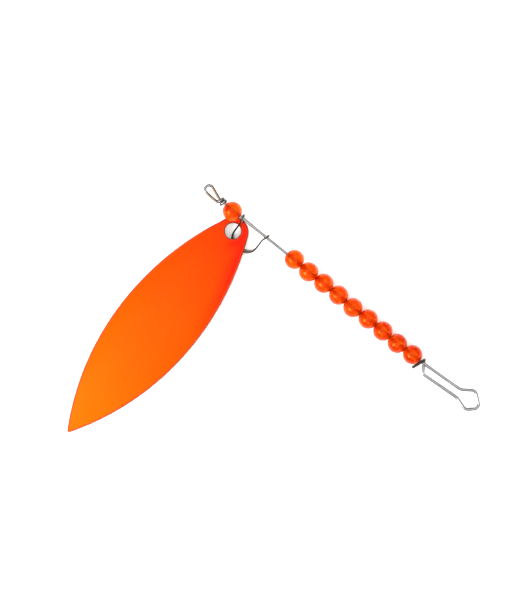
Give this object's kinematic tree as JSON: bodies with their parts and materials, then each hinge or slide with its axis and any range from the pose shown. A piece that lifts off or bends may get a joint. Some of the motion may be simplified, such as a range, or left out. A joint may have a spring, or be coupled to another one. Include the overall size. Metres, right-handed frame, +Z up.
{
  "type": "inline spinner",
  "caption": "Inline fishing spinner: willow-leaf blade on a folded clevis, bearing bead and bead body on a wire shaft with a wrapped line eye and a self-closing wire snap.",
  "frame": {"origin": "on the shaft's axis, in the opening of the line eye", "axes": "+X along the shaft from the line eye to the snap, +Z up from the blade's painted face, so the blade lies out along -Y"},
  "size_m": [0.0895, 0.0737, 0.0078],
  "materials": {
    "spring_wire": "bright drawn stainless spring wire",
    "plated_strip": "bright nickel plate",
    "painted_blade": "glossy fluorescent orange paint over a plated brass blade",
    "bead_plastic": "translucent fluorescent orange, polished"
  },
  "bodies": {
    "shaft": {"eye_wire": "spring_wire", "shaft_wire": "spring_wire", "snap_leg": "spring_wire"},
    "snap_arm": {"snap_arm": "spring_wire"},
    "bearing_bead": {"bearing_bead": "bead_plastic"},
    "clevis": {"clevis": "plated_strip"},
    "blade": {"blade": "painted_blade"},
    "bead_1": {"bead_1": "bead_plastic"},
    "bead_2": {"bead_2": "bead_plastic"},
    "bead_3": {"bead_3": "bead_plastic"},
    "bead_4": {"bead_4": "bead_plastic"},
    "bead_5": {"bead_5": "bead_plastic"},
    "bead_6": {"bead_6": "bead_plastic"},
    "bead_7": {"bead_7": "bead_plastic"},
    "bead_8": {"bead_8": "bead_plastic"},
    "bead_9": {"bead_9": "bead_plastic"}
  },
  "joints": [
    {"name": "bead_and_clevis_slide", "type": "slide", "parent": "shaft", "child": "bearing_bead", "axis": [1, 0, 0], "range_m": [0, 0.006]},
    {"name": "clevis_spin", "type": "hinge", "parent": "bearing_bead", "child": "clevis", "pos_m": [0.01493, 0, 0], "axis": [1, 0, 0], "continuous": true},
    {"name": "blade_swing", "type": "hinge", "parent": "clevis", "child": "blade", "pos_m": [0.01448, -0.00377, -0.00254], "axis": [0, -0.5592, 0.829], "range_deg": [-5, 70]},
    {"name": "snap_squeeze", "type": "hinge", "parent": "shaft", "child": "snap_arm", "pos_m": [0.08765, 0.00015, 0], "axis": [0, 0, -1], "range_deg": [0, 12], "stiffness_Nm_per_rad": 0.05, "springref_deg": -2.86},
    {"name": "bead_1_spin", "type": "hinge", "parent": "shaft", "child": "bead_1", "pos_m": [0.0279, 0.0001, 0], "axis": [1, 0, 0], "continuous": true},
    {"name": "bead_2_spin", "type": "hinge", "parent": "shaft", "child": "bead_2", "pos_m": [0.03272, -0.00011, 0], "axis": [1, 0, 0], "continuous": true},
    {"name": "bead_3_spin", "type": "hinge", "parent": "shaft", "child": "bead_3", "pos_m": [0.03754, 0.00004, 0], "axis": [1, 0, 0], "continuous": true},
    {"name": "bead_4_spin", "type": "hinge", "parent": "shaft", "child": "bead_4", "pos_m": [0.04236, 0.00007, 0], "axis": [1, 0, 0], "continuous": true},
    {"name": "bead_5_spin", "type": "hinge", "parent": "shaft", "child": "bead_5", "pos_m": [0.04718, -0.00012, 0], "axis": [1, 0, 0], "continuous": true},
    {"name": "bead_6_spin", "type": "hinge", "parent": "shaft", "child": "bead_6", "pos_m": [0.052, 0.00007, 0], "axis": [1, 0, 0], "continuous": true},
    {"name": "bead_7_spin", "type": "hinge", "parent": "shaft", "child": "bead_7", "pos_m": [0.05682, 0.00004, 0], "axis": [1, 0, 0], "continuous": true},
    {"name": "bead_8_spin", "type": "hinge", "parent": "shaft", "child": "bead_8", "pos_m": [0.06164, -0.00011, 0], "axis": [1, 0, 0], "continuous": true},
    {"name": "bead_9_spin", "type": "hinge", "parent": "shaft", "child": "bead_9", "pos_m": [0.06646, 0.0001, 0], "axis": [1, 0, 0], "continuous": true}
  ]
}
